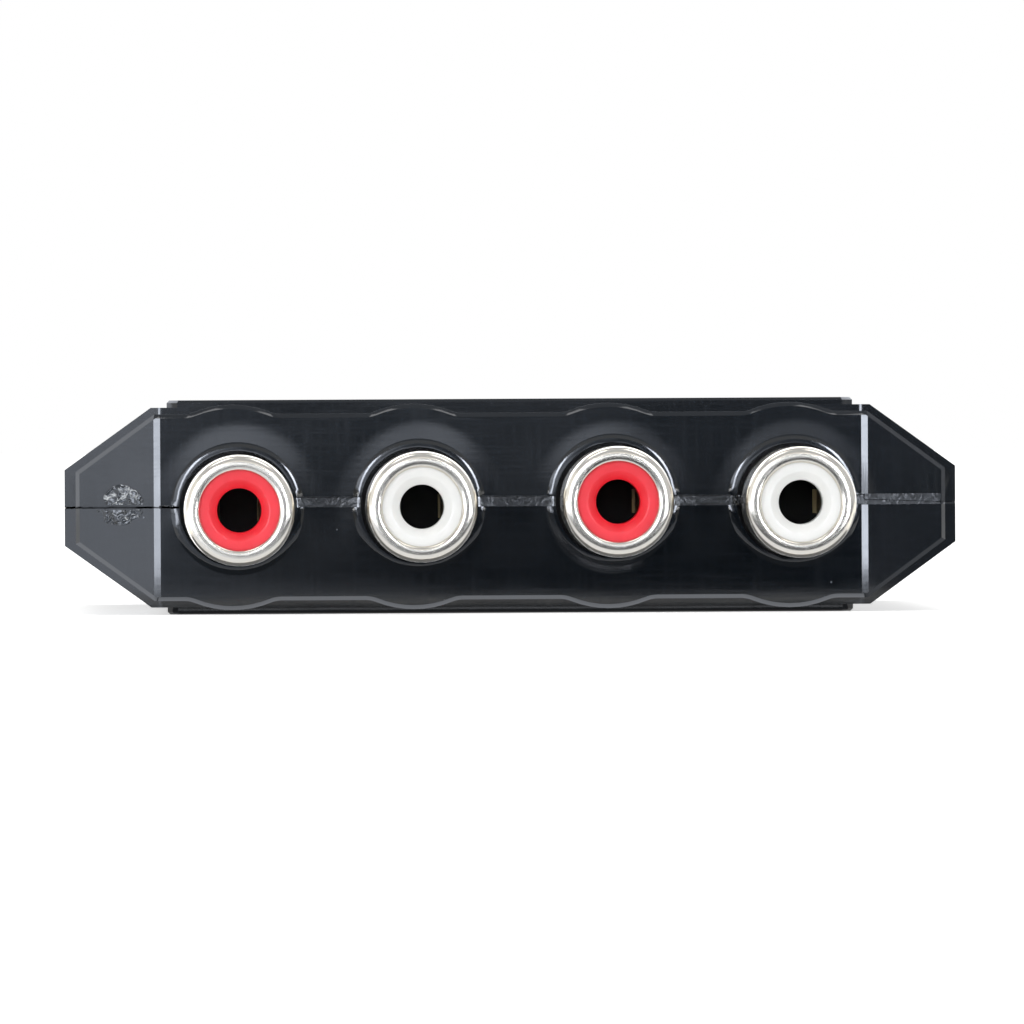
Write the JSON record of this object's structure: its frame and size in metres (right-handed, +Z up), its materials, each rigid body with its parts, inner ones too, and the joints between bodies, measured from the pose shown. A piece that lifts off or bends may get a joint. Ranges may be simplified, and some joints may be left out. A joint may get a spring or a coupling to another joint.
{
  "type": "line output converter",
  "caption": "Small moulded audio converter: a hexagonal two-part case with tapered wings, a row of phono jacks in its nose and a cable grommet in its back.",
  "frame": {"origin": "middle of the raised panel that the case rests on", "axes": "+X to the right as one faces the jacks, which face -Y, and +Z up"},
  "size_m": [0.067, 0.0876, 0.0161],
  "materials": {
    "case_plastic": "gloss, moulded",
    "sleeve_nickel": "polished nickel plate",
    "insert_red": "satin, moulded",
    "insert_white": "satin, moulded",
    "contact_brass": "bright",
    "jack_block_plastic": "matt, moulded",
    "board_laminate": "solder mask over glass laminate",
    "tinned_pins": "tinned",
    "lamination_steel": "varnished stack",
    "bobbin_plastic": "matt, moulded",
    "winding_tape": "polyester tape",
    "resistor_ceramic": "glazed",
    "grommet_rubber": "matt"
  },
  "bodies": {
    "root": {"lower_case": "case_plastic", "upper_case": "case_plastic", "cable_grommet": "grommet_rubber", "circuit_board": "board_laminate", "transformer_pins": "tinned_pins", "jack_1_shell": "sleeve_nickel", "jack_1_insert": "insert_red", "jack_1_contact": "contact_brass", "jack_1_body": "jack_block_plastic", "jack_2_shell": "sleeve_nickel", "jack_2_insert": "insert_white", "jack_2_contact": "contact_brass", "jack_2_body": "jack_block_plastic", "jack_3_shell": "sleeve_nickel", "jack_3_insert": "insert_red", "jack_3_contact": "contact_brass", "jack_3_body": "jack_block_plastic", "jack_4_shell": "sleeve_nickel", "jack_4_insert": "insert_white", "jack_4_contact": "contact_brass", "jack_4_body": "jack_block_plastic", "transformer_1_core": "lamination_steel", "transformer_1_bobbin": "bobbin_plastic", "transformer_1_winding": "winding_tape", "transformer_2_core": "lamination_steel", "transformer_2_bobbin": "bobbin_plastic", "transformer_2_winding": "winding_tape", "transformer_3_core": "lamination_steel", "transformer_3_bobbin": "bobbin_plastic", "transformer_3_winding": "winding_tape", "transformer_4_core": "lamination_steel", "transformer_4_bobbin": "bobbin_plastic", "transformer_4_winding": "winding_tape", "resistor_1": "resistor_ceramic", "resistor_2": "resistor_ceramic", "resistor_3": "resistor_ceramic", "resistor_4": "resistor_ceramic", "resistor_5": "resistor_ceramic", "resistor_6": "resistor_ceramic", "resistor_7": "resistor_ceramic", "resistor_8": "resistor_ceramic"}
  },
  "joints": []
}
